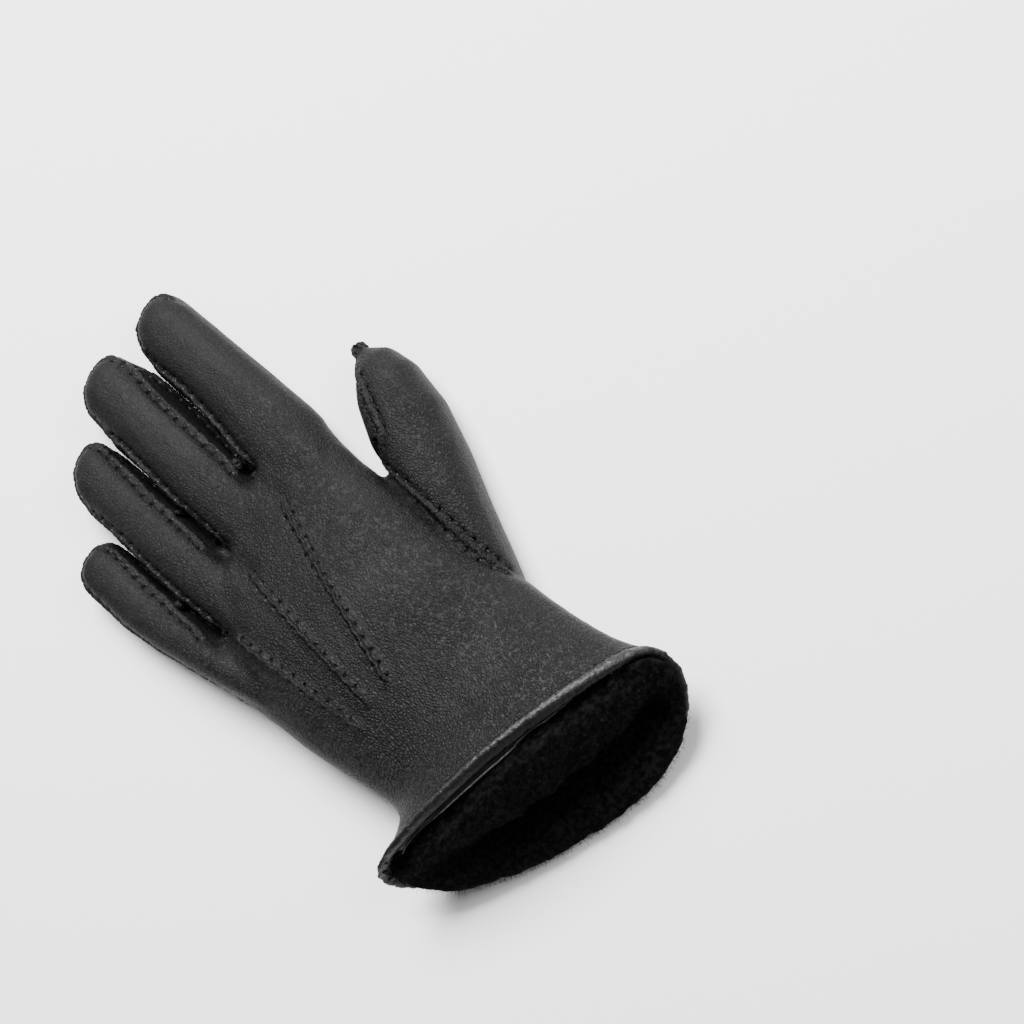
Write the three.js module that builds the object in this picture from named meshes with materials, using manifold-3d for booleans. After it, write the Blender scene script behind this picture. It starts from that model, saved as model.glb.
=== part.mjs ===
// Black sheepskin dress glove for the left hand, lying by itself with its palm down.
// Millimetres. The fingers point along +Y, the thumb lies on the +X side, +Z is up.
import * as THREE from "three";
import { mergeVertices } from "three/addons/utils/BufferGeometryUtils.js";
import Module from "manifold-3d";

const wasm = await Module();
wasm.setup();

// Driving dimensions
const skin = 2.4; // sheepskin suede and its finish, without the wool
const gap = 0.3; // clearance between sewn pieces
const handSides = 30; // points round a palm or cuff section
const fingerSides = 14; // points round a finger section
const hollowSides = 10; // points round a finger's hollow
const seamRise = 6.6; // height of a finger seam above or below the finger's middle
const seamRiseTip = 3.2; // the same where the side strip runs out at the tip
const weltHalf = 1.1; // half the width of a sewn welt
const weltHeight = 1.5; // how far a welt stands off the leather
const weltRoot = 1.2; // how deep a welt is fused into the leather
const weltTaper = 0.75; // width of a raised strip's top as a share of its foot
const pointHalf = 1.1; // half the width of a raised point on the back
const pointHeight = 1.2;
const bindingWidth = 5.2; // along the cuff
const bindingThickness = 5.4; // across the rim
const bindingProud = 1.1; // how far the binding stands outside the leather
const woolGap = 0.4; // between wool and leather
const seamStep = 22; // spacing of the sections of a sewn welt
const seamFromCrotch = 4; // where a finger's welts start, past the bottom of its gap
const seamFromTip = 3; // and where they end, short of the tip
const seamEase = 26; // length over which a seam closes in towards the tip
const stripFromCrotch = 5.6; // how far a side strip reaches back past the bottom of its gap
const stripFromTip = 6; // and how far short of the tip it ends
const stripSteps = 7; // sections along a side strip's cut
const fingerTipStops = [0, 0.35, 0.64, 0.86, 0.98]; // sections of a rounded tip, as shares of its length
const tipSquareness = 2.5;

// Rows of numbers under their column names
function table(columns, rows) {
  const names = columns.split(" ");
  return rows.map((row) => Object.fromEntries(names.map((name, i) => [name, row[i]])));
}

// Sections of palm, wrist and cuff, from the knuckles to the mouth.
// Each row names both side points, the height of the side, the top, how far the top leans
// back towards the fingers (degrees), how far the middle bows out of the mouth, how square
// the section is above and below its sides, and how far the palm's lip runs on.
const handRows = table("ulnarX ulnarY radialX radialY side top lean bow above below lip", [
  [-56, 7, 56, 54, 15, 28.5, 0, -12, 2.4, 2.9, 0],
  [-54.8, 0, 52.6, 34, 15.8, 31.8, 0, -7, 2.35, 2.9, 0],
  [-53.6, -9, 52.6, 15, 16.6, 34.5, 0, -2.5, 2.3, 2.9, 0],
  [-52.7, -23, 54.8, -12, 17.5, 36.5, 0, 0, 2.3, 2.9, 0],
  [-51, -44, 56, -40, 18, 37, 0, 0, 2.3, 2.9, 0],
  [-47.6, -66, 57, -68, 18.5, 37.5, 3, 0, 2.25, 2.8, 0],
  [-46.3, -81, 58, -88, 20, 39, 10, 0.5, 2.2, 2.6, 0.6],
  [-50, -89, 60.5, -106, 22, 42, 20, 2.5, 2.1, 2.4, 2.2],
  [-60, -93.5, 64, -120, 23.5, 44.5, 29, 5.5, 2, 2.2, 4.2],
  [-72, -96, 70, -134, 24, 47, 35, 9, 1.95, 2.05, 6.5],
]);
const handStops = [0, 0.7, 1.5, 2.5, 3.5, 4.4, 5, 5.5, 6, 6.5, 7, 7.5, 8]; // row numbers of the sections
const woolDepth = 5; // the first of those stops, by its place in the list, that the wool reaches
const handFront = 10.5; // length of the rounded front of the palm past its first section

// Fingers: one row per section, from inside the palm to where the tip starts to round
const fingerColumns = "y x half mid thick";
const fingers = {
  index: {
    tip: 152.5,
    tipShift: 4,
    rows: table(fingerColumns, [
      [26, 33, 15, 16.5, 12],
      [60, 38.4, 18, 15.4, 13],
      [82, 40.9, 16.4, 14.6, 12.5],
      [108, 42.3, 15.4, 13.2, 12],
      [133, 42.9, 14.9, 11.6, 11],
    ]),
  },
  middle: {
    tip: 156.2,
    tipShift: 4,
    rows: table(fingerColumns, [
      [20, 2.5, 14.5, 16.5, 12],
      [60, 3.8, 15.6, 15.6, 13],
      [100, 6.3, 15.5, 13.6, 12.2],
      [137, 7.8, 15.1, 11.6, 11],
    ]),
  },
  ring: {
    tip: 137.2,
    tipShift: 6,
    rows: table(fingerColumns, [
      [6, -26, 13, 16, 12],
      [50, -26, 13.6, 15.2, 12.6],
      [88, -25.4, 13, 13.2, 11.6],
      [117, -24.8, 12.9, 11.4, 10.5],
    ]),
  },
  little: {
    tip: 105.6,
    tipShift: 1.5,
    rows: table(fingerColumns, [
      [-14, -43, 8, 16, 12],
      [12, -46.9, 9, 15.4, 12.2],
      [34, -50.6, 9.5, 14.2, 12],
      [56, -52.7, 11.3, 12.7, 11.2],
      [76, -53.6, 12, 11.4, 10.4],
      [92, -53.6, 11.9, 10.3, 9.7],
    ]),
  },
};
const fingerStations = 5; // sections along the straight part of a finger
const roundAbove = 2.3; // how square a section is above its sides
const roundBelow = 2.9; // and below them, where the glove is flattened by lying

// Thumb: a cone set on the edge of the palm. turn is its heading from +Y towards +X, degrees.
const thumbRows = table("x y half mid thick turn", [
  [44, -68, 5, 13, 8, 24],
  [48, -59, 8.6, 13.5, 11, 24],
  [54, -42, 11.4, 14, 13, 23],
  [60.8, -22, 14, 14.3, 14, 22],
  [68.4, -2, 16.8, 14.5, 14.8, 20],
  [76.6, 18, 17.8, 14.5, 14.6, 17],
  [83.2, 36, 15, 14, 13, 12],
  [86, 46, 10.8, 13.6, 9.8, 6],
  [86.4, 52, 6, 13.4, 6.2, 2],
  [86.8, 54.8, 3.8, 13.4, 4, 2],
  [87, 58.4, 3.2, 13.4, 3.4, 2],
]);
const thumbStations = 10;
const thumbHollow = { from: 1.2, to: 7.6 }; // row numbers that the hollow of the thumb runs between
const thumbCutFrom = 0.2; // row number from which the thumb is parted from the palm

// Outline of the thumb piece on the palm, with the V-shaped quirk cut at the finger end
const thenarOutline = [
  [62, -72], [47, -66], [34, -55], [25.5, -40], [22, -22], [23, -5], [27.5, 8], [36, 16], [44, 19.5],
  [50.5, 3], [54, 21], [74, 24],
];
const thenarHeight = 5; // how far up the palm's edge the flat part of the cutter reaches

// Seams: where each finger gap starts, which fingers it parts and where its middle lies
const gaps = {
  fourchette_index_middle: {
    radial: "index",
    ulnar: "middle",
    crotch: 62.5,
    middle: table("y x", [[50, 18.8], [100, 24.6], [156, 26.3]]),
  },
  fourchette_middle_ring: {
    radial: "middle",
    ulnar: "ring",
    crotch: 54.5,
    middle: table("y x", [[40, -12.3], [100, -11], [156, -10.4]]),
  },
  fourchette_ring_little: {
    radial: "ring",
    ulnar: "little",
    crotch: 30,
    middle: table("y x", [[20, -40.6], [60, -40.9], [140, -40.6]]),
  },
};
const gapOverlap = 0.3; // how far both halves of a side strip's cutter pass the middle of the gap

// Raised points on the back: start near the knuckles and end towards the wrist
const points = table("fromX fromY toX toY", [
  [21, 38.5, -7, -52],
  [-10.5, 31, -18.5, -50],
  [-35, 19, -28.5, -54],
]);

// Wool past the leather: round the rim, over the swollen lip and back in along the hollow.
// side, above and below are its depth inside the skin's outer face; the hollow's middle lies
// lower than the cuff's by drop and nearer the thumb by across. push moves a ring out of the
// mouth, and tuft is how far its locks stand out of the pile and sink into it.
const woolLip = table("at side above below floor push drop across tuft", [
  [8.36, 4.9, 4.9, 4.9, 5.9, 0, 0, 0, 0],
  [9, 4.9, 4.9, 4.9, 5.9, 1.5, 0, 0, 0],
  [9, 6.5, 8, 6, 6.6, 4.5, 0, 0, 0.5],
  [9, 12, 17, 8.4, 8.4, 6, 3, 3, 1.1],
  [9, 22, 28, 11.5, 10.4, 4.6, 7.5, 9, 1.3],
  [9, 30, 34.5, 14.5, 12, 1, 10.5, 12, 1.2],
  [8.5, 27, 32, 14, 12.2, 0, 9, 10, 1],
  [7.6, 19, 23, 12.5, 12, 0, 4, 6, 0.6],
  [7, 14.5, 16.5, 11.5, 11.4, 0, 1.5, 2, 0],
  [6, 11.5, 12, 10.5, 10.4, 0, 0, 0, 0],
  [5, 9.8, 10, 9.6, 9.6, 0, 0, 0, 0],
  [4.4, 9.5, 9.5, 9.5, 9.5, 0, 0, 0, 0],
]);

const mouthRow = handRows.length - 1;
const bindingRows = bindingWidth / 10; // the binding's width as a share of the last row's step
const deg = Math.PI / 180;

// Shape functions

// Smooth value of one column at a row number with a fraction
function column(rows, key, at) {
  const i = Math.min(Math.max(Math.floor(at), 0), rows.length - 2);
  const f = Math.min(Math.max(at - i, 0), 1);
  const value = (k) => rows[Math.min(Math.max(k, 0), rows.length - 1)][key];
  const [a, b, c, d] = [value(i - 1), value(i), value(i + 1), value(i + 2)];
  return 0.5 * (2 * b + (c - a) * f + (2 * a - 5 * b + 4 * c - d) * f * f + (3 * b - a - 3 * c + d) * f ** 3);
}

function rowAt(rows, at) {
  return Object.fromEntries(Object.keys(rows[0]).map((key) => [key, column(rows, key, at)]));
}

// The same, found by the value of the y column, which only rises
function rowAtY(rows, y) {
  let i = 0;
  while (i < rows.length - 2 && rows[i + 1].y < y) {
    i += 1;
  }
  const f = Math.min(Math.max((y - rows[i].y) / (rows[i + 1].y - rows[i].y), 0), 1);
  return { ...rowAt(rows, i + f), y };
}

function roundedPower(value, power) {
  return Math.sign(value) * Math.abs(value) ** power;
}

// One closed ring: rounder above its sides than below, and flattened on the table
function sectionRing(section, sides) {
  const ring = [];
  for (let k = 0; k < sides; k += 1) {
    const angle = (2 * Math.PI * k) / sides;
    const [c, s] = [Math.cos(angle), Math.sin(angle)];
    const power = 2 / (s >= 0 ? section.squareAbove ?? roundAbove : section.squareBelow ?? roundBelow);
    const point = section.centre.clone();
    point.addScaledVector(section.right, section.half * roundedPower(c, power));
    point.addScaledVector(section.up, (s >= 0 ? section.above : section.below) * roundedPower(s, power));
    point.y -= (section.bow ?? 0) * (1 - Math.abs(c) ** 3);
    point.y -= (section.lip ?? 0) * (0.5 + c) * Math.max(-s, 0);
    point.z = Math.max(point.z, section.floor);
    ring.push(point);
  }
  return ring;
}

// Closed surface through rings; the ends are capped, or joined to each other
function loft(rings, joined = false) {
  const positions = [];
  const sides = rings[0].length;
  const triangle = (...corners) => corners.forEach((p) => positions.push(p.x, p.y, p.z));
  const last = joined ? rings.length : rings.length - 1;
  for (let i = 0; i < last; i += 1) {
    const [near, far] = [rings[i], rings[(i + 1) % rings.length]];
    for (let k = 0; k < sides; k += 1) {
      const next = (k + 1) % sides;
      triangle(near[k], far[k], far[next]);
      triangle(near[k], far[next], near[next]);
    }
  }
  if (!joined) {
    for (const [ring, turned] of [[rings[0], false], [rings[rings.length - 1], true]]) {
      const middle = ring.reduce((sum, p) => sum.add(p), new THREE.Vector3()).divideScalar(sides);
      for (let k = 0; k < sides; k += 1) {
        const next = (k + 1) % sides;
        triangle(middle, turned ? ring[next] : ring[k], turned ? ring[k] : ring[next]);
      }
    }
  }
  const geometry = new THREE.BufferGeometry();
  geometry.setAttribute("position", new THREE.Float32BufferAttribute(positions, 3));
  return geometry;
}

function toSolid(geometry) {
  const merged = mergeVertices(geometry, 1e-4);
  const vertProperties = new Float32Array(merged.attributes.position.array);
  const triVerts = new Uint32Array(merged.index.array);
  const solid = new wasm.Manifold(new wasm.Mesh({ numProp: 3, vertProperties, triVerts }));
  if (solid.volume() < 0) {
    for (let i = 0; i < triVerts.length; i += 3) {
      [triVerts[i], triVerts[i + 1]] = [triVerts[i + 1], triVerts[i]];
    }
    return new wasm.Manifold(new wasm.Mesh({ numProp: 3, vertProperties, triVerts }));
  }
  return solid;
}

function toGeometry(solid) {
  const mesh = solid.getMesh();
  const geometry = new THREE.BufferGeometry();
  geometry.setAttribute("position", new THREE.BufferAttribute(mesh.vertProperties, 3));
  geometry.setIndex(new THREE.BufferAttribute(mesh.triVerts, 1));
  return mainBody(geometry);
}

// The largest connected body of a cut piece; slivers that a seam leaves behind are trimmed off
function mainBody(geometry) {
  const index = geometry.index.array;
  const owner = Array.from({ length: geometry.attributes.position.count }, (_, i) => i);
  const root = (i) => {
    while (owner[i] !== i) {
      owner[i] = owner[owner[i]];
      i = owner[i];
    }
    return i;
  };
  for (let i = 0; i < index.length; i += 3) {
    owner[root(index[i])] = root(index[i + 1]);
    owner[root(index[i + 1])] = root(index[i + 2]);
  }
  const bodies = new Map();
  for (let i = 0; i < index.length; i += 3) {
    const body = root(index[i]);
    if (!bodies.has(body)) {
      bodies.set(body, []);
    }
    bodies.get(body).push(index[i], index[i + 1], index[i + 2]);
  }
  const largest = [...bodies.values()].reduce((a, b) => (b.length > a.length ? b : a));
  geometry.setIndex(largest);
  return geometry;
}

const joinAll = (solids) => solids.reduce((whole, solid) => whole.add(solid));

// Section of palm, wrist or cuff at a row number, drawn in by an inset on every side
function handSection(at, inset) {
  const row = rowAt(handRows, at);
  const ulnar = new THREE.Vector3(row.ulnarX, row.ulnarY, row.side);
  const radial = new THREE.Vector3(row.radialX, row.radialY, row.side);
  const lean = row.lean * deg;
  return {
    centre: ulnar.clone().lerp(radial, 0.5),
    right: radial.clone().sub(ulnar).normalize(),
    up: new THREE.Vector3(0, Math.sin(lean), Math.cos(lean)),
    half: radial.distanceTo(ulnar) / 2 - inset,
    above: (row.top - row.side) / Math.cos(lean) - inset,
    below: (row.side + 1) / Math.cos(lean) - inset,
    bow: row.bow,
    lip: row.lip,
    squareAbove: row.above,
    squareBelow: row.below,
    floor: inset,
  };
}

// Front of a palm loft: the section shrinks to a rounded edge over its length
function roundedFront(section, length, inset) {
  return fingerTipStops.slice(1).map((stop) => {
    const shrink = (1 - stop ** tipSquareness) ** (1 / tipSquareness);
    const centre = section.centre.clone();
    centre.y += (length - inset) * stop;
    const [half, above, below] = [section.half, section.above, section.below].map((size) => size * shrink);
    return { ...section, centre, half, above, below };
  });
}

function handLoft(inset, lastRow) {
  const sections = roundedFront(handSection(0, inset), handFront, inset).reverse();
  for (const stop of [...handStops, lastRow]) {
    sections.push(handSection(stop, inset));
  }
  return toSolid(loft(sections.map((section) => sectionRing(section, handSides))));
}

// Section of a finger at a place along it; past its last row the tip rounds off
function fingerSection(finger, y, inset) {
  const last = finger.rows[finger.rows.length - 1];
  const row = rowAtY(finger.rows, Math.min(y, last.y));
  const stop = Math.max(y - last.y, 0) / (finger.tip - last.y - inset);
  const shrink = (1 - Math.min(stop, 1) ** tipSquareness) ** (1 / tipSquareness);
  return {
    centre: new THREE.Vector3(row.x + finger.tipShift * Math.min(stop, 1) ** 2, y, row.mid),
    right: new THREE.Vector3(1, 0, 0),
    up: new THREE.Vector3(0, 0, 1),
    half: (row.half - inset) * shrink,
    above: (row.thick - inset) * shrink,
    below: (row.thick - inset) * shrink,
    floor: inset,
  };
}

function fingerLoft(finger, inset) {
  const [first, last] = [finger.rows[0], finger.rows[finger.rows.length - 1]];
  const sections = [];
  for (let i = 0; i < fingerStations; i += 1) {
    sections.push(fingerSection(finger, THREE.MathUtils.lerp(first.y, last.y, i / fingerStations), inset));
  }
  for (const stop of fingerTipStops) {
    sections.push(fingerSection(finger, last.y + (finger.tip - last.y - inset) * stop, inset));
  }
  const sides = inset > 0 ? hollowSides : fingerSides;
  return toSolid(loft(sections.map((section) => sectionRing(section, sides))));
}

function thumbSection(at, inset) {
  const row = rowAt(thumbRows, at);
  const turn = row.turn * deg;
  return {
    centre: new THREE.Vector3(row.x, row.y, row.mid),
    right: new THREE.Vector3(Math.cos(turn), -Math.sin(turn), 0),
    up: new THREE.Vector3(0, 0, 1),
    half: row.half - inset,
    above: row.thick - inset,
    below: row.thick - inset,
    floor: Math.max(inset, 0),
  };
}

function thumbLoft(inset, from, to) {
  const sections = [];
  for (let i = 0; i <= thumbStations; i += 1) {
    sections.push(thumbSection(THREE.MathUtils.lerp(from, to, i / thumbStations), inset));
  }
  return toSolid(loft(sections.map((section) => sectionRing(section, fingerSides))));
}

// Height of the back above the table at a place on the palm, where its sections stand upright
function backHeight(x, y) {
  let at = 0;
  while (at < mouthRow && handSection(at, 0).centre.y > y) {
    at += 0.05;
  }
  const section = handSection(at, 0);
  const across = Math.min(Math.abs(x - section.centre.x) / section.half, 1);
  const high = section.above * (1 - across ** roundAbove) ** (1 / roundAbove);
  return section.centre.z + high;
}

// Raised strip along a path of points with the direction that stands off the leather
function raisedStrip(path, half, height, root) {
  const rings = path.map(({ point, off }, i) => {
    const before = path[Math.max(i - 1, 0)].point;
    const after = path[Math.min(i + 1, path.length - 1)].point;
    const along = after.clone().sub(before).normalize();
    const side = along.clone().cross(off).normalize();
    const corners = [[-half, -root], [half, -root], [half * weltTaper, height], [-half * weltTaper, height]];
    const place = ([across, high]) => point.clone().addScaledVector(side, across).addScaledVector(off, high);
    return corners.map(place);
  });
  return toSolid(loft(rings));
}

// Height of a finger's seams above and below its middle, easing in towards the tip
function riseAt(finger, y) {
  const last = finger.rows[finger.rows.length - 1].y;
  const f = THREE.MathUtils.smoothstep(y, last - seamEase, finger.tip);
  return THREE.MathUtils.lerp(seamRise, seamRiseTip, f);
}

// Seam along one side of a finger, over the tip; side is +1 towards the thumb
function fingerSeam(finger, side, level, from, to) {
  const path = [];
  const steps = Math.round((to - from) / seamStep);
  for (let i = 0; i <= steps; i += 1) {
    const y = THREE.MathUtils.lerp(from, to, i / steps);
    const section = fingerSection(finger, y, 0);
    const rise = Math.min(riseAt(finger, y), section.above * 0.7);
    const round = level > 0 ? roundAbove : roundBelow;
    const across = section.half * (1 - (rise / section.above) ** round) ** (1 / round);
    const point = new THREE.Vector3(section.centre.x + side * across, y, section.centre.z + level * rise);
    point.z = Math.max(point.z, weltHeight * 0.75);
    path.push({ point, off: new THREE.Vector3(side * 0.8, 0, level * 0.6).normalize() });
  }
  return path;
}

// Wedge that parts the strip on one side of a finger from the rest of the skin
function stripCutter(finger, side, seam, grow) {
  const middleAt = (y) => {
    const [a, b, c] = seam.middle;
    const [near, far] = y < b.y ? [a, b] : [b, c];
    return THREE.MathUtils.lerp(near.x, far.x, THREE.MathUtils.clamp((y - near.y) / (far.y - near.y), 0, 1));
  };
  const from = seam.crotch - stripFromCrotch - grow;
  const to = finger.tip - stripFromTip + grow;
  const rings = [];
  for (let i = 0; i <= stripSteps; i += 1) {
    const y = THREE.MathUtils.lerp(from, to, i / stripSteps);
    const section = fingerSection(finger, y, 0);
    const rise = riseAt(finger, y) + grow;
    const inner = section.centre.x;
    const outer = middleAt(y) + side * gapOverlap;
    const [low, high] = [section.centre.z - rise, section.centre.z + rise];
    const corners = [[inner, low], [outer, low], [outer, high], [inner, high]];
    rings.push(corners.map(([x, z]) => new THREE.Vector3(x, y, z)));
  }
  return toSolid(loft(rings));
}

function fourchetteCutter(seam, grow) {
  const radialHalf = stripCutter(fingers[seam.radial], -1, seam, grow);
  return radialHalf.add(stripCutter(fingers[seam.ulnar], 1, seam, grow));
}

// Block that parts the thumb piece from the palm: its flat oval and its cone
function thumbCutter(grow) {
  const shape = new THREE.Shape(thenarOutline.map(([x, y]) => new THREE.Vector2(x, y)));
  const depth = thenarHeight + skin + grow;
  const geometry = new THREE.ExtrudeGeometry(shape, { depth, bevelEnabled: false });
  geometry.translate(0, 0, -skin);
  geometry.deleteAttribute("normal");
  geometry.deleteAttribute("uv");
  const cone = thumbLoft(-gap - grow, thumbCutFrom, thumbRows.length - 1);
  return toSolid(geometry).add(cone);
}

function handPointPath({ fromX, fromY, toX, toY }) {
  const steps = Math.round((fromY - toY) / seamStep);
  const path = [];
  for (let i = 0; i <= steps; i += 1) {
    const f = i / steps;
    const [x, y] = [THREE.MathUtils.lerp(fromX, toX, f), THREE.MathUtils.lerp(fromY, toY, f)];
    path.push({ point: new THREE.Vector3(x, y, backHeight(x, y)), off: new THREE.Vector3(0, 0, 1) });
  }
  return path;
}

const outward = new THREE.Vector3(-0.25, -0.78, 0.55).normalize(); // straight out of the cuff's mouth

// Wool sleeve inside the cuff: its outer wall, then the rings of the lip and the hollow
function woolSleeve() {
  const rings = [];
  const outerInset = skin + woolGap;
  for (const stop of handStops.slice(woolDepth)) {
    rings.push(sectionRing(handSection(stop, outerInset), handSides));
  }
  const ringAt = ({ at, side, above, below, floor, push, drop, across, tuft }, place) => {
    const section = handSection(at, side);
    section.above -= above - side - drop;
    section.below -= below - side + drop;
    section.floor = floor;
    section.centre.addScaledVector(outward, push);
    section.centre.addScaledVector(section.up, -drop);
    section.centre.addScaledVector(section.right, across);
    const ring = sectionRing(section, handSides);
    ring.forEach((point, k) => point.addScaledVector(outward, (k + place) % 2 === 0 ? tuft : -tuft));
    return ring;
  };
  woolLip.forEach((row, place) => rings.push(ringAt(row, place)));
  return toSolid(loft(rings, true));
}

// Leather binding folded over the rim of the cuff
function cuffBinding() {
  const inner = bindingThickness - bindingProud;
  const profile = table("along inset", [
    [0, -bindingProud * 0.6],
    [0.35, -bindingProud],
    [0.75, -bindingProud * 0.8],
    [1, inner * 0.2],
    [1, inner * 0.7],
    [0.75, inner * 0.93],
    [0.3, inner],
    [0, inner * 0.9],
  ]);
  const rings = profile.map(({ along, inset }) => {
    const section = handSection(mouthRow - bindingRows * (1 - along), inset);
    section.floor = Math.max(inset + bindingProud, 0);
    return sectionRing(section, handSides);
  });
  return toSolid(loft(rings, true));
}

// Assembly

const leatherEnd = mouthRow - bindingRows - 0.03; // the row number where the leather meets its binding
const outerParts = [handLoft(0, leatherEnd), thumbLoft(0, 0, thumbRows.length - 1)];
const innerParts = [handLoft(skin, mouthRow), thumbLoft(skin, thumbHollow.from, thumbHollow.to)];
for (const finger of Object.values(fingers)) {
  outerParts.push(fingerLoft(finger, 0));
  innerParts.push(fingerLoft(finger, skin));
}
for (const seam of Object.values(gaps)) {
  for (const [name, side] of [[seam.radial, -1], [seam.ulnar, 1]]) {
    const finger = fingers[name];
    for (const level of [1, -1]) {
      const path = fingerSeam(finger, side, level, seam.crotch + seamFromCrotch, finger.tip - seamFromTip);
      outerParts.push(raisedStrip(path, weltHalf, weltHeight, weltRoot));
    }
  }
}
for (const line of points) {
  outerParts.push(raisedStrip(handPointPath(line), pointHalf, pointHeight, weltRoot));
}
const shell = joinAll(outerParts).subtract(joinAll(innerParts));

const glove = new THREE.Group();

function addPiece(name, solid, color, roughness) {
  const material = new THREE.MeshStandardMaterial({ color, roughness, metalness: 0 });
  const mesh = new THREE.Mesh(toGeometry(solid), material);
  mesh.name = name;
  glove.add(mesh);
}

let trank = shell.subtract(thumbCutter(gap));
for (const seam of Object.values(gaps)) {
  trank = trank.subtract(fourchetteCutter(seam, gap));
}
addPiece("trank", trank, 0x2b2b2c, 0.5);
addPiece("thumb", shell.intersect(thumbCutter(0)), 0x2b2b2c, 0.5);
for (const [name, seam] of Object.entries(gaps)) {
  addPiece(name, shell.intersect(fourchetteCutter(seam, 0)), 0x262627, 0.55);
}
addPiece("cuff_binding", cuffBinding(), 0x242425, 0.4);
addPiece("wool_lining", woolSleeve(), 0x0b0b0c, 1);

// The origin is the middle of the glove's footprint box, on the table
const bounds = new THREE.Box3().setFromObject(glove);
const middle = bounds.getCenter(new THREE.Vector3());
glove.position.set(-middle.x, -middle.y, -bounds.min.z);

export default glove;
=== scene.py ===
# Black sheepskin dress glove for the left hand, lying palm down.
# Metres, in the frame's own axes: fingers along +Y, thumb on the +X side, the table at z = 0.
import math
import bmesh
import bpy
import numpy as np
from mathutils import Matrix, Vector, noise
from mathutils.bvhtree import BVHTree
from mathutils.kdtree import KDTree


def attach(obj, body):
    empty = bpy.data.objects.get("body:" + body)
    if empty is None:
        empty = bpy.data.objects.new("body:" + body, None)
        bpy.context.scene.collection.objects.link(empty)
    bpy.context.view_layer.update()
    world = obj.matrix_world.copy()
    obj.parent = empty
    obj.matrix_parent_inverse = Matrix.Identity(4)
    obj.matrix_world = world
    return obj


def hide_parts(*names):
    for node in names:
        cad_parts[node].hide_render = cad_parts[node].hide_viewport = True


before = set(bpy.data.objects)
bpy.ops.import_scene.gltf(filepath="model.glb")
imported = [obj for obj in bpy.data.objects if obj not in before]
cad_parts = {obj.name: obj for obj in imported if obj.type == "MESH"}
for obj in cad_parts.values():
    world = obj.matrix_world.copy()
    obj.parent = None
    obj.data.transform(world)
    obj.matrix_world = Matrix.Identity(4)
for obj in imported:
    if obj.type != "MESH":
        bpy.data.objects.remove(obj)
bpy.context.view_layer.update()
mm = 0.001
leatherNodes = ["trank", "thumb", "fourchette_index_middle", "fourchette_middle_ring", "fourchette_ring_little"]
allNodes = leatherNodes + ["cuff_binding", "wool_lining"]
scene = bpy.context.scene


# Small helpers
def deselectAll():
    bpy.ops.object.select_all(action="DESELECT")


def pick(piece):
    deselectAll()
    piece.select_set(True)
    bpy.context.view_layer.objects.active = piece


def eased(value, low, high):
    share = np.clip((value - low) / (high - low), 0, 1)
    return share * share * (3 - 2 * share)


def edit(piece, operator, **settings):
    # runs an operator on all of a piece in edit mode
    pick(piece)
    bpy.ops.object.mode_set(mode="EDIT")
    bpy.ops.mesh.select_all(action="SELECT")
    operator(**settings)
    bpy.ops.object.mode_set(mode="OBJECT")


def applyModifier(piece, kind, **settings):
    pick(piece)
    modifier = piece.modifiers.new(kind.lower(), kind)
    for name, value in settings.items():
        setattr(modifier, name, value)
    bpy.ops.object.modifier_apply(modifier=modifier.name)


def pieceFrom(name, points, faces):
    mesh = bpy.data.meshes.new(name)
    mesh.from_pydata([tuple(p) for p in points], [], faces)
    mesh.update()
    piece = bpy.data.objects.new(name, mesh)
    scene.collection.objects.link(piece)
    return piece


def shapeOf(*pieces):
    shape = bmesh.new()
    for piece in pieces:
        shape.from_mesh(piece.data)
    return shape


def pieceOf(shape, name):
    piece = pieceFrom(name, [], [])
    shape.to_mesh(piece.data)
    shape.free()
    return piece


def copyOfNodes(nodes, name):
    shape = shapeOf(*(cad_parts[node] for node in nodes))
    bmesh.ops.remove_doubles(shape, verts=shape.verts, dist=1e-6)
    return pieceOf(shape, name)


def pointsOf(piece):
    co = np.empty(len(piece.data.vertices) * 3, np.float32)
    piece.data.vertices.foreach_get("co", co)
    return co.reshape(-1, 3).astype(float)


def normalsOf(piece):
    normals = np.empty(len(piece.data.vertices) * 3, np.float32)
    piece.data.vertex_normals.foreach_get("vector", normals)
    return normals.reshape(-1, 3).astype(float)


def movePoints(piece, co):
    piece.data.vertices.foreach_set("co", co.astype(np.float32).ravel())
    piece.data.update()


def treeOf(piece):
    shape = shapeOf(piece)
    tree = BVHTree.FromBMesh(shape)
    shape.free()
    return tree


def evenOut(piece, rounds, weight=None, steps=(0.5, -0.53)):
    # rounds off facets shorter than about 13 edges and leaves wider forms their size
    co = pointsOf(piece)
    edges = np.empty(len(piece.data.edges) * 2, np.int32)
    piece.data.edges.foreach_get("vertices", edges)
    a, b = edges.reshape(-1, 2).T
    total = len(co)
    joined = np.maximum(np.bincount(a, minlength=total) + np.bincount(b, minlength=total), 1)
    weight = np.ones(total) if weight is None else weight
    for _ in range(rounds):
        for step in steps:
            for k in range(3):
                near = np.bincount(a, co[b, k], total) + np.bincount(b, co[a, k], total)
                co[:, k] += step * weight * (near / joined - co[:, k])
    movePoints(piece, co)


def finish(piece, material, slot, *nodes):
    piece.data.materials.clear()
    piece.data.materials.append(material)
    piece.data.polygons.foreach_set("use_smooth", [True] * len(piece.data.polygons))
    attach(piece, "root")
    if nodes:
        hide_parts(*nodes)
    return piece


# Materials
def linear(hexColour):
    parts = [int(hexColour[i:i + 2], 16) / 255 for i in (1, 3, 5)]
    return tuple(c / 12.92 if c <= 0.04045 else ((c + 0.055) / 1.055) ** 2.4 for c in parts) + (1.0,)


def setInputs(owner, node, links=None, **inputs):
    # gives a node plain input values and links from other nodes' outputs
    for name, value in inputs.items():
        node.inputs[name.replace("_", " ")].default_value = value
    for name, source in (links or {}).items():
        owner.node_tree.links.new(source, node.inputs[name])


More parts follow.
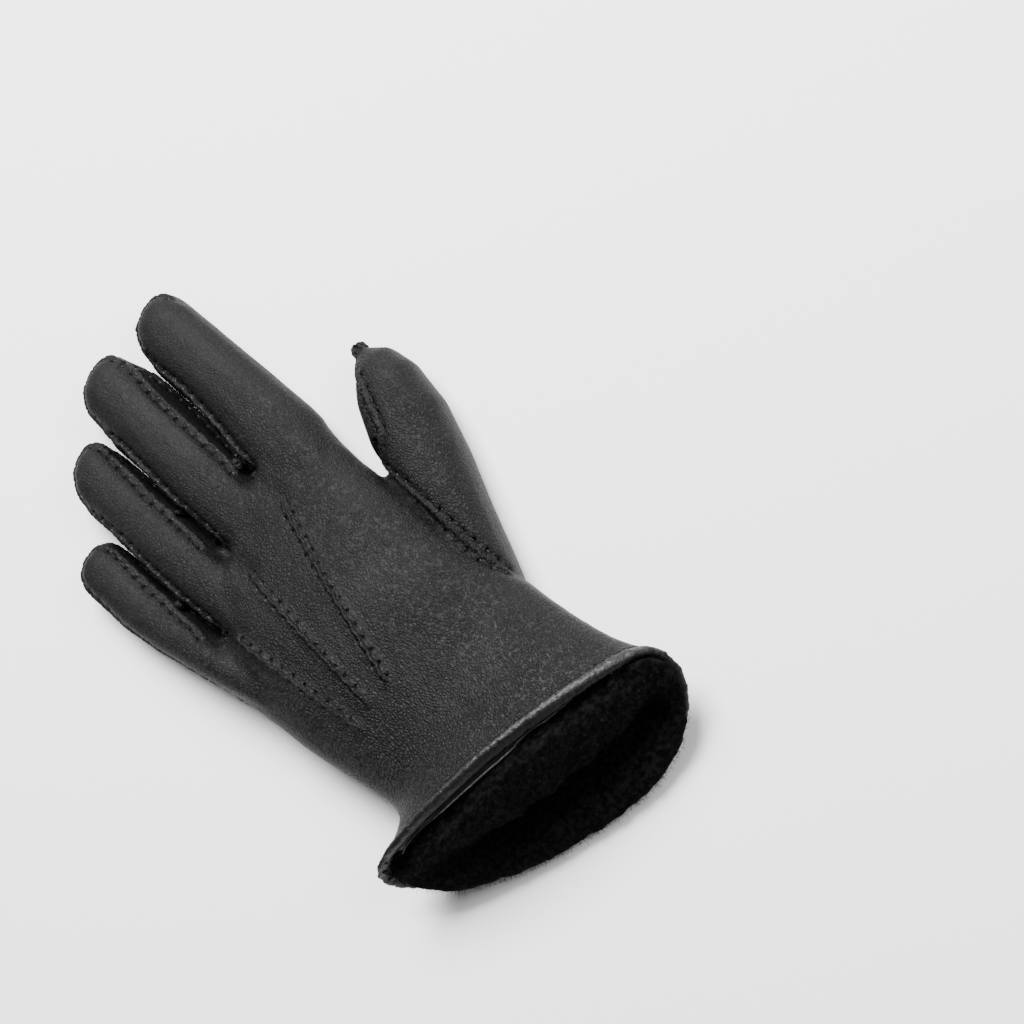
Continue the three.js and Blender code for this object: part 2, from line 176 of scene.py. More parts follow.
def addNode(material, kind, settings=None, links=None, **inputs):
    node = material.node_tree.nodes.new(kind)
    for name, value in (settings or {}).items():
        setattr(node, name, value)
    setInputs(material, node, links, **inputs)
    return node


def addNoise(material, place, across, **inputs):
    # noise with features about so many mm across
    return addNode(material, "ShaderNodeTexNoise", None, {"Vector": place}, Scale=1 / mm / across, **inputs)


def mapped(material, source, low, high, lowTo=0.0, highTo=1.0, **settings):
    # the source's values from low to high, laid on those from lowTo to highTo
    return addNode(material, "ShaderNodeMapRange", settings, {"Value": source}, From_Min=low, From_Max=high,
                   To_Min=lowTo, To_Max=highTo).outputs["Result"]


def combined(material, operation, a, b):
    return addNode(material, "ShaderNodeMath", {"operation": operation}, {0: a, 1: b}).outputs["Value"]


def newMaterial(name):
    material = bpy.data.materials.new(name)
    material.use_nodes = True
    return material, material.node_tree.nodes["Principled BSDF"]


nappa = {
    "dark": "#030303",
    "light": "#0d0d0e",
    "roughness": (0.48, 0.64),
    "pebble": 1.2,  # mm across one cell of the grain
    "pebbleDepth": 0.3,
    "pore": 0.7,
    "poreDepth": 0.12,
    "pull": 3.6,  # mm between the soft wrinkles that the skin takes when pulled
    "pullDepth": 0.36,
    "patch": 42,  # mm across the patches where the grain is stronger
    "wander": 3.2,  # mm over which the cells are bent out of line
    "turn": -24,  # degrees of the grain's own direction
    "specular": 0.16,
}


def makeNappa(name, finishTable, shine):
    # drum-dyed sheepskin nappa: a soft, slightly waxy black with pebbled grain that catches small lights
    material, shader = newMaterial(name)
    place = addNode(material, "ShaderNodeTexCoord").outputs["Object"]
    wander = addNoise(material, place, finishTable["wander"], Detail=2.0)
    bent = addNode(material, "ShaderNodeMixRGB", {"blend_type": "LINEAR_LIGHT"},
                   {"Color1": place, "Color2": wander.outputs["Color"]}, Fac=0.0009)
    turned = addNode(material, "ShaderNodeMapping", None, {"Vector": bent.outputs["Color"]},
                     Rotation=(0, 0, math.radians(finishTable["turn"])), Scale=(1.0, 0.72, 1.0))
    cells = addNode(material, "ShaderNodeTexVoronoi", {"feature": "DISTANCE_TO_EDGE"},
                    {"Vector": turned.outputs["Vector"]}, Scale=1 / mm / finishTable["pebble"])
    pebbles = mapped(material, cells.outputs["Distance"], 0.0, 0.36, interpolation_type="SMOOTHSTEP")
    patch = addNoise(material, place, finishTable["patch"], Detail=2.5)
    lengthwise = addNode(material, "ShaderNodeSeparateXYZ", None, {"Vector": place}).outputs["Y"]
    fingers = mapped(material, lengthwise, 0.02, 0.1, 1.0, 0.45)  # the grain is finer on the fingers
    strong = combined(material, "MULTIPLY", mapped(material, patch.outputs["Fac"], 0.34, 0.62, 0.5, 1.0), fingers)
    grain = combined(material, "MULTIPLY", pebbles, strong)
    pores = addNoise(material, place, finishTable["pore"], Detail=3.0, Roughness=0.6)
    pulls = addNoise(material, turned.outputs["Vector"], finishTable["pull"], Detail=4.0, Roughness=0.62)
    normal = None
    for height, depth in ((pulls.outputs["Fac"], "pullDepth"), (grain, "pebbleDepth"),
                          (pores.outputs["Fac"], "poreDepth")):
        links = {"Height": height, "Normal": normal} if normal else {"Height": height}
        bump = addNode(material, "ShaderNodeBump", None, links, Strength=1.0, Distance=finishTable[depth] * mm)
        normal = bump.outputs["Normal"]
    tone = addNode(material, "ShaderNodeMixRGB", None, {"Fac": pebbles},
                   Color1=linear(finishTable["dark"]), Color2=linear(finishTable["light"]))
    # the shade attribute paints shade into the leather's colour: in the stitch holes, in the fold between palm and
    # thumb and on the walls of the finger gaps
    shade = addNode(material, "ShaderNodeAttribute", {"attribute_name": "shade"})
    tone = addNode(material, "ShaderNodeMixRGB", None, {"Fac": shade.outputs["Fac"], "Color1": tone.outputs["Color"]},
                   Color2=linear("#020202"))
    smooth, dull = (roughness * shine for roughness in finishTable["roughness"])
    worn = mapped(material, lengthwise, -0.11, 0.1, -0.05, 0.08)  # duller towards the fingers
    rough = combined(material, "ADD", mapped(material, pores.outputs["Fac"], 0.35, 0.65, smooth, dull), worn)
    setInputs(material, shader, {"Base Color": tone.outputs["Color"], "Roughness": rough, "Normal": normal},
              IOR=1.5, Specular_IOR_Level=finishTable["specular"])
    return material


def makeThread():
    # waxed polyester thread: nearly black with a dull shine
    material, shader = newMaterial("waxedThread")
    place = addNode(material, "ShaderNodeTexCoord").outputs["Object"]
    twist = addNoise(material, place, 0.3, Detail=1.0)
    bump = addNode(material, "ShaderNodeBump", None, {"Height": twist.outputs["Fac"]},
                   Strength=0.5, Distance=0.05 * mm)
    setInputs(material, shader, {"Normal": bump.outputs["Normal"]}, Base_Color=linear("#0a0a0a"), Roughness=0.45)
    return material


def makeWool(name, base, tip):
    # clipped black wool: light sinks between the fibres, so it is darker than the leather
    material, shader = newMaterial(name)
    place = addNode(material, "ShaderNodeTexCoord").outputs["Object"]
    tufts = addNoise(material, place, 2.4, Detail=5.0)
    locks = mapped(material, tufts.outputs["Fac"], 0.4, 0.64)
    tone = addNode(material, "ShaderNodeMixRGB", None, {"Fac": locks}, Color1=linear(base), Color2=linear(tip))
    bump = addNode(material, "ShaderNodeBump", None, {"Height": tufts.outputs["Fac"]},
                   Strength=1.0, Distance=1.6 * mm)
    setInputs(material, shader, {"Base Color": tone.outputs["Color"], "Normal": bump.outputs["Normal"]},
              Roughness=0.95, Specular_IOR_Level=0.06)
    return material


leather = makeNappa("dyedNappa", nappa, 1.0)
# thin skived leather, smoother and glossier where it is stretched over the rim
bindingLeather = makeNappa("bindingNappa", {**nappa, "pebble": 0.8, "pebbleDepth": 0.05, "pull": 2.2,
                                            "pullDepth": 0.4, "specular": 0.32}, 0.85)
# the cord along the cut edge is painted a much lighter grey than the leather, a painted highlight along the raw edge
cutEdgeHighlight = makeNappa("cutEdgePaintedHighlight", {**nappa, "dark": "#2a2a29", "light": "#4c4a48", "pebble": 0.6,
                                       "pebbleDepth": 0.1, "roughness": (0.5, 0.7), "specular": 0.4}, 1.0)
thread = makeThread()
woolBase = makeWool("clippedWool", "#000000", "#0c0c0d")
woolFibre = makeWool("woolFibres", "#020202", "#1c1c1c")
print("materials made")

# Camera, floor and light
view = {
    "place": (0.17333, -0.51272, 1.08421),
    "right": (0.58488558, -0.7183983, -0.37658032),
    "up": (0.80549509, 0.56900046, 0.1655782),
    "lens": 103.36,
    "sensor": 36,
}


def setCamera():
    camera = bpy.data.objects.new("camera", bpy.data.cameras.new("camera"))
    scene.collection.objects.link(camera)
    right, up = Vector(view["right"]).normalized(), Vector(view["up"]).normalized()
    axes = Matrix((right, up, right.cross(up))).transposed().to_4x4()
    camera.matrix_world = Matrix.Translation(view["place"]) @ axes
    camera.data.lens = view["lens"]
    camera.data.sensor_width = view["sensor"]
    camera.data.sensor_height = view["sensor"]
    camera.data.clip_start = 0.05
    scene.camera = camera


lights = {
    "overhead": {"place": (0.5, 0.75, 1.32), "size": 0.9, "power": 108, "colour": "#ffffff"},
    "side": {"place": (1.0, -0.6, 1.1), "size": 0.7, "power": 17, "colour": "#ffffff"},
}
sky = {"colour": "#f4f5f6", "strength": 0.22}
ground = {"size": 6, "colour": "#f4f4f4", "roughness": 0.9}


def setStudio():
    for name, row in lights.items():
        lamp = bpy.data.objects.new(name, bpy.data.lights.new(name, "AREA"))
        scene.collection.objects.link(lamp)
        lamp.data.size = row["size"]
        lamp.data.energy = row["power"]
        lamp.data.color = linear(row["colour"])[:3]
        lamp.location = row["place"]
        lamp.rotation_euler = (-Vector(row["place"])).to_track_quat("-Z", "Y").to_euler()
    world = bpy.data.worlds.new("studio")
    scene.world = world
    world.use_nodes = True
    setInputs(world, world.node_tree.nodes["Background"], Color=linear(sky["colour"]), Strength=sky["strength"])
    deselectAll()
    bpy.ops.mesh.primitive_plane_add(size=ground["size"], location=(0, 0, 0))
    floor = bpy.context.object
    floor.name = "floor"
    paint, shader = newMaterial("paleFloor")
    setInputs(paint, shader, Base_Color=linear(ground["colour"]), Roughness=ground["roughness"])
    floor.data.materials.append(paint)


setCamera()
setStudio()
print("camera, floor and lights set")

# Skin: the outer form of all leather pieces, made even and then parted again
skin = {
    "voxel": 1.4,  # mm
    "rounds": 52,
    "wall": 1.2,  # mm of leather left under the surface
    "innerShare": 0.62,  # of the triangles that stay when the inner side is thinned
    "most": 192000,  # triangles of one piece
    "parting": 8,  # height at which back and palm become two pieces
    "tuck": 1.8,  # mm that the leather's edge sinks under its binding
    "undulation": 0.35,  # mm, soft waves of a worn skin
    "waveLength": 26,
}
hollowPlug = {"place": (-9, -64, 18), "half": (47, 5, 15.5)}  # a flat ball across the wrist's hollow
# rows of y, x and height of a finger's middle; the last row is where the tip starts to round
fingers = {
    "index": [(25, 20, 16.5), (59, 25.4, 15.4), (81, 27.9, 14.6), (107, 29.3, 13.2), (132, 29.9, 11.6)],
    "middle": [(19, -10.5, 16.5), (59, -9.2, 15.6), (99, -6.7, 13.6), (136, -5.2, 11.6)],
    "ring": [(5, -39, 16), (49, -39, 15.2), (87, -38.4, 13.2), (116, -37.8, 11.4)],
    "little": [(-15, -56, 16), (11, -59.9, 15.4), (33, -63.6, 14.2), (55, -65.7, 12.7), (75, -66.6, 11.4),
               (91, -66.6, 10.3)],
}
# where each gap ends (y), rows of y and x of its middle, the fingers that it parts and how it is opened
crotches = {
    "index_middle": {"y": 61.7, "middle": [(49, 5.8), (99, 11.6), (155, 13.3)],
                     "radial": "index", "ulnar": "middle", "slot": 2.2, "slotDepth": 12, "meet": 130, "reach": 7},
    "middle_ring": {"y": 53.7, "middle": [(39, -25.3), (99, -24), (155, -23.4)],
                    "radial": "middle", "ulnar": "ring", "slot": 2.0, "slotDepth": 12, "meet": 124, "reach": 6},
    "ring_little": {"y": 29.2, "middle": [(19, -53.6), (59, -53.9), (139, -53.6)],
                    "radial": "ring", "ulnar": "little", "slot": 2.0, "slotDepth": 12, "meet": 97, "reach": 6},
}
slotFloor = 7.5  # height at which the slots are closed
brim = [(30, 20.5), (60, 19.5), (100, 17), (140, 14)]  # y and height of the seams beside a gap
# rows of x, y and height of the thumb's middle with its heading from +Y towards +X
thumb = {
    "line": [(73.6, 55, 13.4, 2), (73.2, 51, 13.4, 2), (73, 45.2, 13.6, 6), (71.8, 40, 13.8, 9), (70.2, 35.2, 14, 12),
             (68.2, 30, 14.2, 14), (66, 25, 14.4, 16), (63.6, 17.2, 14.5, 17)],
    "lift": [(42, 56), (55, 12)],  # y and the degrees up from the thumb's side at which its seam runs
    "rounds": 90,
    "knob": (74.8, 55.4, 13.6),
}
# routes seen from above: the valley between palm and thumb, the oval set into the palm, the raised points
webRoute = [(43.8, 12), (43.5, 0), (43, -18), (42.3, -35), (42.2, -49), (43.6, -63), (45.6, -73)]
ovalRoute = [(44, -68), (34, -66.8), (21, -55.8), (12.5, -40.8), (9, -22.8), (10, -5.8), (14.5, 7.2), (23, 15.2),
             (31, 18.7), (34, 12), (37.5, 2.2), (39.5, 11), (41, 20.2)]
pointRoutes = [[(8, 37.7), (-20, -52.8)], [(-23.5, 30.2), (-31.5, -50.8)], [(-48, 18.2), (-41.5, -54.8)]]
ulnarHeight = [(-86, 15), (-20, 12), (20, 16.5), (86, 14.6)]  # y and height of the seam on the little finger's side
# kinks of the source's rows that worn leather doesn't show, and a dip in the index's outer side
roughSpots = {"places": [(42, 52, 16), (81.2, 13, 15)], "rounds": 45, "whole": 10, "none": 22}
indexDip = {"y": 58, "long": 7, "fill": 1.4}


def onRows(rows, y, column=1):
    return float(np.interp(y, [row[0] for row in rows], [row[column] for row in rows]))


def outerForm():
    whole = copyOfNodes(allNodes, "skin")
    deselectAll()
    bpy.ops.mesh.primitive_uv_sphere_add(segments=32, ring_count=16, radius=1)
    plug = bpy.context.object  # closes the hollow, so that its inner wall comes off as a loose part
    centre, half = ([length * mm for length in hollowPlug[key]] for key in ("place", "half"))
    plug.data.transform(Matrix.Translation(centre) @ Matrix.Diagonal((*half, 1)))
    whole.select_set(True)
    bpy.context.view_layer.objects.active = whole
    bpy.ops.object.join()
    applyModifier(whole, "REMESH", mode="VOXEL", voxel_size=skin["voxel"] * mm)
    edit(whole, bpy.ops.mesh.separate, type="LOOSE")
    parts = list(bpy.context.selected_objects)
    outer = max(parts, key=lambda part: part.dimensions.length)
    for part in parts:
        if part != outer:
            bpy.data.objects.remove(part)
    outer.name = "skin"
    return outer


def nodeLabels(piece):
    # for each vertex, the nearest of the frame's nodes and how far it is from leather
    co = pointsOf(piece)
    gaps = np.full((len(co), len(allNodes)), 1.0)
    for k, node in enumerate(allNodes):
        tree = treeOf(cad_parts[node])
        for i, point in enumerate(co):
            gap = tree.find_nearest(point, 9 * mm)[3]
            if gap is not None:
                gaps[i, k] = gap
    return gaps.argmin(1), gaps[:, :len(leatherNodes)].min(1)


whole = outerForm()
labels, fromLeather = nodeLabels(whole)
labelPoints = pointsOf(whole)


def evenSkin(piece, co):
    # evens the facets; the crotches keep their form, and kinks and the thumb's root are evened more
    stiff = np.ones(len(co))
    for row in crotches.values():
        away = np.hypot(co[:, 0] - onRows(row["middle"], row["y"]) * mm, co[:, 1] - row["y"] * mm)
        stiff *= 0.12 + 0.88 * eased(away, 3 * mm, 13 * mm)
    evenOut(piece, skin["rounds"], stiff)
    for spot in roughSpots["places"]:
        away = np.linalg.norm(co - np.array(spot) * mm, axis=1)
        weight = 1 - eased(away, roughSpots["whole"] * mm, roughSpots["none"] * mm)
        evenOut(piece, roughSpots["rounds"], weight, steps=(0.5, -0.4))
    root = eased(co[:, 1], -45 * mm, -20 * mm) * (1 - eased(co[:, 1], 38 * mm, 48 * mm))
    evenOut(piece, thumb["rounds"], (labels == leatherNodes.index("thumb")) * root)


def fillDip(piece):
    co, normals = pointsOf(piece), normalsOf(piece)
    fill = np.exp(-((co[:, 1] / mm - indexDip["y"]) / indexDip["long"]) ** 2) * np.clip(normals[:, 0], 0, 1)
    fill = fill * eased(co[:, 0], 30 * mm, 38 * mm) * (co[:, 0] < 52 * mm)
    co[:, 0] += fill * indexDip["fill"] * mm
    movePoints(piece, co)


def undulate(piece):
    co, normals = pointsOf(piece), normalsOf(piece)
    size = 1 / (skin["waveLength"] * mm)
    wave = np.array([noise.fractal(Vector(p * size), 1.0, 2.0, 2) for p in co])
    movePoints(piece, co + normals * (wave * skin["undulation"] * mm)[:, None])


evenSkin(whole, labelPoints)
fillDip(whole)
undulate(whole)
print("outer form", len(labelPoints), "points")


def pathTree(routes):
    tree = KDTree(sum(len(route) for route in routes))
    count = 0
    for route in routes:
        for point in route:
            tree.insert(point, count)
            count += 1
    tree.balance()
    return tree


def refineNear(piece, routes, reach, longest):
    # halves the edges near some paths that are longer than longest mm
    tree = pathTree(routes)
    shape = shapeOf(piece)
    near = {vertex.index for vertex in shape.verts if tree.find(vertex.co)[2] < reach * mm}
    edges = [edge for edge in shape.edges if edge.verts[0].index in near and edge.verts[1].index in near
             and edge.calc_length() > longest * mm]
    bmesh.ops.subdivide_edges(shape, edges=edges, cuts=1, use_grid_fill=True)
    bmesh.ops.triangulate(shape, faces=[face for face in shape.faces if len(face.verts) > 4])
    shape.to_mesh(piece.data)
    shape.free()


def openGaps(piece):
    # opens the slots between fingers down to their crotches, and lets the side strips bulge together low down
    routes = [[(onRows(row["middle"], y) * mm, y * mm, z * mm)
               for y in range(int(row["y"]) - 2, int(row["meet"]) + 4, 2) for z in range(3, 24, 3)]
              for row in crotches.values()]
    refineNear(piece, routes, 5, 0.9)
    co, normals = pointsOf(piece), normalsOf(piece)
    slots = np.zeros(len(co))
    for row in crotches.values():
        middle = np.interp(co[:, 1], [y * mm for y, x in row["middle"]], [x * mm for y, x in row["middle"]])
        beside = co[:, 0] - middle
        start = eased(co[:, 1], (row["y"] - 1.5) * mm, (row["y"] + 3) * mm)
        near = 1 - np.clip(np.abs(beside) / (row["slot"] * mm), 0, 1) ** 2
        facing = np.clip((1 - np.abs(normals[:, 0])) * 2 - 0.3, 0, 1)
        above = co[:, 2] - slotFloor * mm
        co[:, 2] -= np.sign(above) * np.minimum(near * start * facing * row["slotDepth"] * mm, np.abs(above) * 0.8)
        low = (1 - eased(co[:, 2], slotFloor * mm, 13 * mm)) * start
        low = low * (1 - eased(co[:, 1], row["meet"] * mm, (row["meet"] + 18) * mm))
        wall = np.clip(np.abs(normals[:, 0]) * 2 - 0.2, 0, 1) * (np.abs(beside) < 9 * mm)
        reach = np.minimum(np.abs(beside) - 0.2 * mm, row["reach"] * mm)
        co[:, 0] -= np.sign(beside) * np.maximum(reach, 0) * low * wall
        slots = np.maximum(slots, start * (1 - eased(np.abs(beside), 3 * mm, 6 * mm)))
    movePoints(piece, co)
    evenOut(piece, 8, slots, steps=(0.5,))


openGaps(whole)

# Paths of the seams, found by rays on the skin
seam = {
    "rise": 6.6,  # mm that a finger's seams run above and below its middle
    "riseTip": 3.6,
    "step": 0.75,  # mm between the points of a path
    "sink": 0.7,  # the leather is pulled in along a seam
    "sinkWidth": 7,
    "fine": (6.5, 0.9),  # mm beside a seam or raised point, and the longest edge there
    "finer": (3.7, 0.45),
    "finerPoint": (3.0, 0.45),
}
# soft dips that run on from the gaps
furrow = {"routes": [[(7, 60), (8, 38)], [(-25, 52), (-23.5, 29)], [(-53.7, 27), (-48, 16)]],
          "depth": 1.3, "width": 9}
skinTree = treeOf(whole)


def hitsOf(rays):
    # where rays, each a start in mm and a direction, meet the skin
    hits = [skinTree.ray_cast(Vector(start) * mm, Vector(direction).normalized())[0] for start, direction in rays]
    return [hit for hit in hits if hit]


def dropped(route, level=1):
    # points of a route dropped on the back, or raised against the palm
    return hitsOf([((x, y, 60 if level > 0 else -20), (0, 0, -level)) for x, y in route])


def fingerSide(name, side, level, fromY, stepLength=3.0):
    # points along one side of a finger; side is +1 towards the thumb, level +1 on the back
    rows = fingers[name]
    last = rows[-1][0]
    rays = []
    for y in np.arange(fromY, last + 0.1, stepLength):
        near = float(eased(y, last - 24, last + 6))
        high = seam["rise"] * (1 - near) + seam["riseTip"] * near
        rays.append(((onRows(rows, y), y, onRows(rows, y, 2) + level * high), (side, 0, 0)))
    return hitsOf(rays)


def fingerTip(name, side, fromAngle, toAngle, steps=10):
    # points over the tip, by their angle from the side towards the end of the finger
    y, x, z = fingers[name][-1]
    return hitsOf([((x, y, z + seam["riseTip"]), (side * math.cos(angle), math.sin(angle), 0))
                   for angle in np.linspace(math.radians(fromAngle), math.radians(toAngle), steps)])


def crotchEnd(gap, side, level):
    # where a finger's seam runs out past the bottom of its gap; the seam on the thumb's side of the gap runs farther
    row = crotches[gap]
    ends = ((-7, 0.6), (-3, 1.5), (0.5, 2.3), (4, 2.8))[0 if side > 0 else 2:]
    return dropped([(onRows(row["middle"], row["y"] + back) + side * across, row["y"] + back)
                    for back, across in ends], level)


def between(corners, stepLength=3.0):
    # evenly spaced points along straight stretches between corners
    route = []
    for a, b in zip(corners, corners[1:]):
        steps = max(int(math.dist(a, b) / stepLength), 1)
        route += [tuple(np.array(a) + (np.array(b) - np.array(a)) * k / steps) for k in range(steps)]
    return route + [corners[-1]]


def evenPath(points, step, rounds=4):
    # the same path at an even step, with its corners eased
    points = np.array([tuple(p) for p in points])
    for _ in range(2):
        lengths = np.concatenate([[0], np.cumsum(np.linalg.norm(np.diff(points, axis=0), axis=1))])
        count = max(int(lengths[-1] / (step * mm)), 4)
        even = np.linspace(0, lengths[-1], count)
        points = np.stack([np.interp(even, lengths, points[:, k]) for k in range(3)], 1)
        for _ in range(rounds):
            points[1:-1] = (points[:-2] + 2 * points[1:-1] + points[2:]) / 4
    return points


def thumbSide():
    rays = []
    for x, y, z, turn in thumb["line"]:
        angle, lift = math.radians(turn), math.radians(onRows(thumb["lift"], y))
        flat = math.cos(lift)
        rays.append(((x, y, z), (-math.cos(angle) * flat, math.sin(angle) * flat, math.sin(lift))))
    return hitsOf(rays)


def ulnarEdge():
    return hitsOf([((onRows(fingers["little"], y) if y > 5 else -30, y, onRows(ulnarHeight, y)), (-1, 0, 0))
                   for y in range(86, -88, -4)])


def seamPaths():
    found = {}
    start = {}
    for level in (1, -1):
        for gap, row in crotches.items():
            for name, side in ((row["radial"], -1), (row["ulnar"], 1)):
                start[name, side, level] = crotchEnd(gap, -side, level) + fingerSide(name, side, level, row["y"] + 9)
    found["index_back"] = start["index", -1, 1] + fingerTip("index", -1, 12, 150, 12)
    for name in ("middle", "ring"):
        found[f"{name}_back"] = start[name, 1, 1] + fingerTip(name, 1, 12, 168, 14) + start[name, -1, 1][::-1]
    found["little_back"] = start["little", 1, 1] + fingerTip("little", 1, 12, 168, 14) + ulnarEdge()
    for name in fingers:
        for side, word in ((1, "radial"), (-1, "ulnar")):
            if (name, side, -1) in start:
                found[f"{name}_palm_{word}"] = start[name, side, -1] + fingerTip(name, side, 12, 30, 3)
    found["thumb_inner"] = thumbSide() + dropped(between(webRoute))
    found["thumb_oval"] = dropped(between(ovalRoute), -1)
    return found


paths = {name: evenPath(points, seam["step"]) for name, points in seamPaths().items()}
pointPaths = [evenPath(dropped(between(route)), seam["step"]) for route in pointRoutes]
print("seam paths:", ", ".join(f"{name} {len(points)}" for name, points in paths.items()))


def distances(piece, routes):
    tree = pathTree(routes)
    return np.array([tree.find(point)[2] for point in pointsOf(piece)])


def smoothRows(rows, width):
    kernel = np.ones(width) / width
    padded = np.concatenate([np.repeat(rows[:1], width, 0), rows, np.repeat(rows[-1:], width, 0)])
    out = np.stack([np.convolve(padded[:, k], kernel, "same") for k in range(rows.shape[1])], 1)
    return out[width:-width]


def unit(rows):
    return rows / np.maximum(np.linalg.norm(rows, axis=1), 1e-9)[:, None]


def pathAxes(route):
    # the path laid back on the skin, with its directions along, off the leather and across
    hits = [skinTree.find_nearest(Vector(p)) for p in route]
    route = smoothRows(np.array([tuple(hit[0]) for hit in hits]), 5)
    along = unit(np.gradient(route, axis=0))
    off = smoothRows(np.array([tuple(hit[1]) for hit in hits]), 11)
    off = unit(off - along * (off * along).sum(1)[:, None])
    return route, along, off, np.cross(along, off)


# How a seam and a raised point stand off the skin, in mm: a ridge, a valley each side of it, a hole at each stitch;
# quiet is the side without holes, and trench the deep fold between palm and thumb
welt = {"pitch": 6.4, "ridge": 0.8, "half": 1.15, "valley": 0.34, "valleyAt": 2.5, "valleyWidth": 1.2,
        "hole": 1.3, "holeLong": 0.72, "holeWide": 0.66, "pinch": 0.25, "crease": 0.15, "sway": 0.2,
        "quiet": 1, "trench": 0, "trenchFrom": 0, "trenchTo": 0}
softWelt = {**welt, "hole": 1.1, "quiet": 0}
webWelt = {**welt, "quiet": 0, "trench": 3.2, "trenchFrom": 44, "trenchTo": 88}
point = {**welt, "ridge": 0.8, "half": 0.7, "valley": 0.24, "valleyAt": 1.75, "valleyWidth": 0.85, "hole": 1.05,
         "holeLong": 0.65, "holeWide": 0.55, "pinch": 0.25, "crease": 0.06, "sway": 0.3, "quiet": 0}
uneven = {"place": 0.3, "force": (0.7, 1.2), "lean": 0.35}  # how the stitches differ; the place in mm


def sewnForm(kind, s, u, gap, which, force, lean):
    # how far the skin stands off in mm and how much shade is painted on it in the stitch holes and the trench, at s
    # mm along, u across and gap from the nearest stitch
    past = np.abs(u) - kind["valleyAt"]
    pinch = np.exp(-(gap / 1.0) ** 2) * force
    ridge = kind["ridge"] * np.exp(-(u / kind["half"]) ** 4) * (1 - kind["pinch"] * pinch)
    valley = kind["valley"] * np.exp(-(past / kind["valleyWidth"]) ** 2) * (0.75 + 0.4 * pinch)
    hole = np.exp(-(gap / kind["holeLong"]) ** 2 - (past / kind["holeWide"]) ** 2) * force
    turn, ring = np.arctan2(gap, past), np.hypot(gap, past)
    creases = np.cos(turn * 7 + which * 1.7) * np.exp(-((ring - 1.9) / 1.1) ** 2)
    drawn = np.exp(-((gap - lean * past) / 0.7) ** 2) * np.exp(-np.maximum(past, 0) / 2.6) * (past > 0)
    beside = 1 - 0.85 * (u * kind["quiet"] > 0.6)
    trench = eased(s, kind["trenchFrom"], kind["trenchFrom"] + 4)
    trench = trench * (1 - eased(s, kind["trenchTo"], kind["trenchTo"] + 14)) * np.exp(-((u - 3.2) / 1.5) ** 2)
    rise = ridge - kind["trench"] * trench
    rise = rise - beside * (valley + kind["hole"] * hole - kind["crease"] * (creases - 1.3 * drawn * force))
    # painted shade: the stitch holes and the trench between palm and thumb are darkened
    return rise, np.clip(2.8 * hole * beside + 1.6 * trench * (kind["trench"] > 0), 0, 1)


def sewPaths(piece, rows):
    # shapes the skin along the paths and returns where each stitch goes in; rows hold a path and its kind
    laid = [(pathAxes(route), kind) for route, kind in rows]
    tree = pathTree([axes[0] for axes, kind in laid])
    owner = np.concatenate([np.full(len(axes[0]), k) for k, (axes, kind) in enumerate(laid)])
    place = np.concatenate([np.arange(len(axes[0])) for axes, kind in laid])
    co, normals = pointsOf(piece), normalsOf(piece)
    found = [tree.find(p) for p in co]
    nearest = np.array([f[1] for f in found])
    away = np.array([f[2] for f in found]) / mm
    rise, shade = np.zeros(len(co)), np.zeros(len(co))
    stitches = []
    for k, ((route, along, off, across), kind) in enumerate(laid):
        lengths = np.concatenate([[0], np.cumsum(np.linalg.norm(np.diff(route, axis=0), axis=1))]) / mm
        spots = np.arange(kind["pitch"] * 0.4, lengths[-1] - kind["pitch"] * 0.2, kind["pitch"])
        spots = spots + rng.uniform(-uneven["place"], uneven["place"], len(spots))
        strong = rng.uniform(*uneven["force"], len(spots))
        lean = rng.uniform(-uneven["lean"], uneven["lean"], len(spots))
        mine = np.nonzero((owner[nearest] == k) & (away < 9))[0]
        at = place[nearest[mine]]
        offset = (co[mine] - route[at]) / mm
        s = lengths[at] + (offset * along[at]).sum(1)
        flat = offset - along[at] * (offset * along[at]).sum(1)[:, None]
        side = np.sign((offset * across[at]).sum(1))
        u = side * np.linalg.norm(flat, axis=1)
        u = u + kind["sway"] * np.sin(s * 0.9 + k) * np.exp(-(u / 3) ** 2)
        fade = eased(s, -0.5, 3) * (1 - eased(s, lengths[-1] - 3, lengths[-1] + 0.5))
        gap = s[:, None] - spots[None, :]
        which = np.abs(gap).argmin(1)
        gap = gap[np.arange(len(s)), which]
        form, dark = sewnForm(kind, s, u, gap, which, strong[which], lean[which])
        rise[mine] += form * fade
        shade[mine] = np.maximum(shade[mine], dark * fade)
        for spot in spots:
            i = int(np.argmin(np.abs(lengths - spot)))
            stitches += [(i, sign * kind["valleyAt"], route, along, off, across)
                         for sign in (-1, 1) if sign != kind["quiet"]]
    # painted shade on the walls of the finger gaps joins the painted shade of the holes and the trench
    shade = np.maximum(shade, gapShade(co / mm))
    co = co + normals * (rise * mm)[:, None]
    co[:, 2] = np.maximum(co[:, 2], 0.05 * mm)
    movePoints(piece, co)
    addShade(piece, shade)
    return stitches


def gapShade(co):
    # painted shade on the walls of the narrow gaps, where no light reaches; the leather there is no different
    dark = np.zeros(len(co))
    for row in crotches.values():
        beside = np.abs(co[:, 0] - np.interp(co[:, 1], *zip(*row["middle"])))
        high = np.interp(co[:, 1], *zip(*brim))
        inside = eased(co[:, 1], row["y"] - 1, row["y"] + 3)
        inside = inside * (1 - eased(co[:, 1], row["meet"] - 4, row["meet"] + 12))
        dark = np.maximum(dark, 0.95 * inside * (1 - eased(beside, 3.5, 6)) * (1 - eased(co[:, 2], high - 3, high)))
    return dark


def addShade(piece, values):
    layer = piece.data.attributes.new("shade", "FLOAT", "POINT")
    layer.data.foreach_set("value", np.array(values, np.float32))


stitch = {"length": 2.0, "radius": 0.3, "sunk": 0.1}


